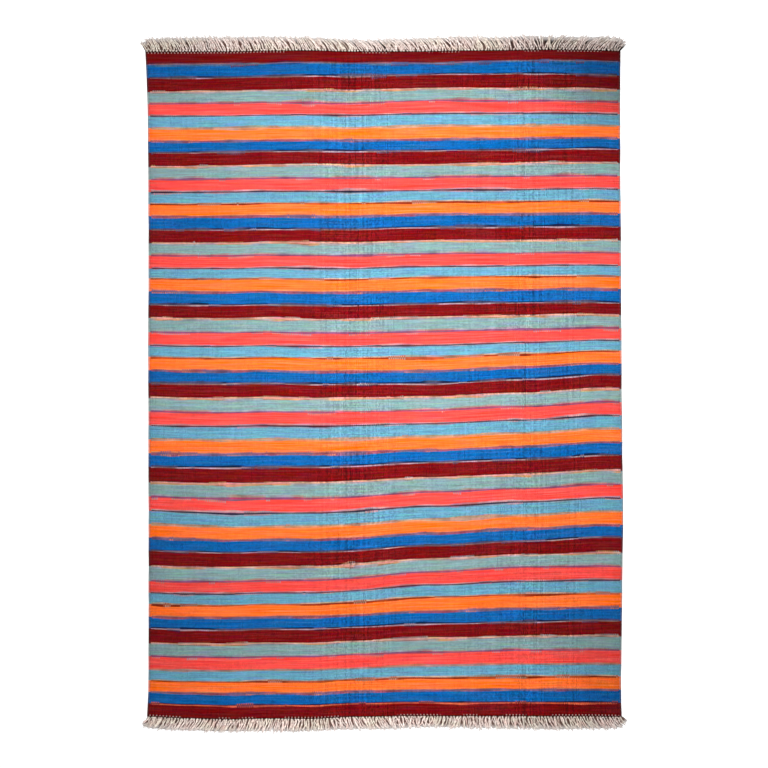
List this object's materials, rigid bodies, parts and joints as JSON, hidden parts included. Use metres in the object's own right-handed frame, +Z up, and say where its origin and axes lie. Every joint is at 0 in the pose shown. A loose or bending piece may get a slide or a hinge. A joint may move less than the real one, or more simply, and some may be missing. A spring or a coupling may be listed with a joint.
{
  "type": "kilim rug",
  "caption": "Flat-woven rectangular kilim rug with plain cross stripes, corded selvedges along both sides and a short knotted fringe at each end, lying flat.",
  "frame": {"origin": "on the floor, under the middle of the whole rug with its fringes", "axes": "+X across the rug to the right, +Y along the rug to its far fringe, +Z up out of the floor"},
  "size_m": [1.7456, 2.5136, 0.0044],
  "materials": {
    "wool_weave": "matt weft-faced wool weave in cross stripes",
    "fringe_cotton": "matt twisted undyed cotton"
  },
  "bodies": {
    "root": {"kilim_field": "wool_weave", "fringe_far": "fringe_cotton", "fringe_near": "fringe_cotton"}
  },
  "joints": []
}
